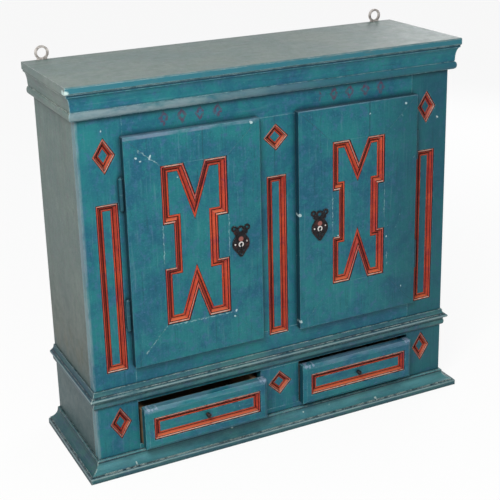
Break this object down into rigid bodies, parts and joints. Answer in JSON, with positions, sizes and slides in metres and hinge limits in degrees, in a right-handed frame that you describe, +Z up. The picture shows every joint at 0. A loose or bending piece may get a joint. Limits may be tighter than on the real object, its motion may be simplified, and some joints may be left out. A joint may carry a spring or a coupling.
{
  "type": "hanging cupboard",
  "caption": "Painted wall cupboard with hinged doors over small sliding drawers, mitred sunk mouldings, a cornice and iron hanging eyes; stores small household things.",
  "frame": {"origin": "middle of the lower front edge of the face frame, level with the underside", "axes": "+X to the right hand of someone facing the doors, +Y from the doors to the wall, +Z up"},
  "size_m": [0.854, 0.288, 0.8075],
  "materials": {
    "blue_green_paint": "worn blue-green oil paint on softwood",
    "red_paint": "worn orange-red oil paint on softwood",
    "bare_wood": "bare aged softwood",
    "iron": "dark wrought iron, worn bright at the keyhole"
  },
  "bodies": {
    "case": {"side_left": "blue_green_paint", "side_right": "blue_green_paint", "top_board": "blue_green_paint", "bottom_board": "bare_wood", "middle_deck": "bare_wood", "shelf": "bare_wood", "shelf_cleats": "bare_wood", "back_boards": "bare_wood", "stile_left": "blue_green_paint", "stile_right": "blue_green_paint", "stile_centre": "blue_green_paint", "drawer_stile": "blue_green_paint", "frieze_rail": "blue_green_paint", "waist_rail": "blue_green_paint", "bottom_rail": "blue_green_paint", "drawer_guides": "bare_wood", "cornice_front": "blue_green_paint", "cornice_left": "blue_green_paint", "cornice_right": "blue_green_paint", "waist_front": "blue_green_paint", "waist_left": "blue_green_paint", "waist_right": "blue_green_paint", "base_front": "blue_green_paint", "base_left": "blue_green_paint", "base_right": "blue_green_paint", "tall_mouldings": "red_paint", "lozenges": "red_paint", "hanger_left": "iron", "hanger_right": "iron", "frame_hinges": "iron"},
    "left_door": {"left_door_core": "blue_green_paint", "left_door_battens": "bare_wood", "left_door_boards": "blue_green_paint", "left_door_blocks": "blue_green_paint", "left_door_field": "blue_green_paint", "left_door_moulding": "red_paint", "left_escutcheon": "iron", "left_lock_case": "iron", "left_door_hinges": "iron"},
    "right_door": {"right_door_core": "blue_green_paint", "right_door_battens": "bare_wood", "right_door_boards": "blue_green_paint", "right_door_blocks": "blue_green_paint", "right_door_field": "blue_green_paint", "right_door_moulding": "red_paint", "right_escutcheon": "iron", "right_lock_case": "iron", "right_door_hinges": "iron"},
    "left_bolt": {"left_lock_bolt": "iron"},
    "right_bolt": {"right_lock_bolt": "iron"},
    "left_drawer": {"left_drawer_front": "blue_green_paint", "left_drawer_sides": "bare_wood", "left_drawer_bottom": "bare_wood", "left_drawer_moulding": "red_paint", "left_drawer_knob": "iron"},
    "right_drawer": {"right_drawer_front": "blue_green_paint", "right_drawer_sides": "bare_wood", "right_drawer_bottom": "bare_wood", "right_drawer_moulding": "red_paint", "right_drawer_knob": "iron"}
  },
  "joints": [
    {"name": "left_door_hinge", "type": "hinge", "parent": "case", "child": "left_door", "pos_m": [-0.3228, -0.005, 0.4465], "axis": [0, 0, -1], "range_deg": [0, 100]},
    {"name": "right_door_hinge", "type": "hinge", "parent": "case", "child": "right_door", "pos_m": [0.3228, -0.005, 0.4465], "axis": [0, 0, 1], "range_deg": [0, 100]},
    {"name": "left_bolt_slide", "type": "slide", "parent": "left_door", "child": "left_bolt", "axis": [1, 0, 0], "range_m": [0, 0.01]},
    {"name": "right_bolt_slide", "type": "slide", "parent": "right_door", "child": "right_bolt", "axis": [-1, 0, 0], "range_m": [0, 0.01]},
    {"name": "left_drawer_slide", "type": "slide", "parent": "case", "child": "left_drawer", "axis": [0, -1, 0], "range_m": [-0.034, 0.138]},
    {"name": "right_drawer_slide", "type": "slide", "parent": "case", "child": "right_drawer", "axis": [0, -1, 0], "range_m": [-0.022, 0.15]}
  ]
}
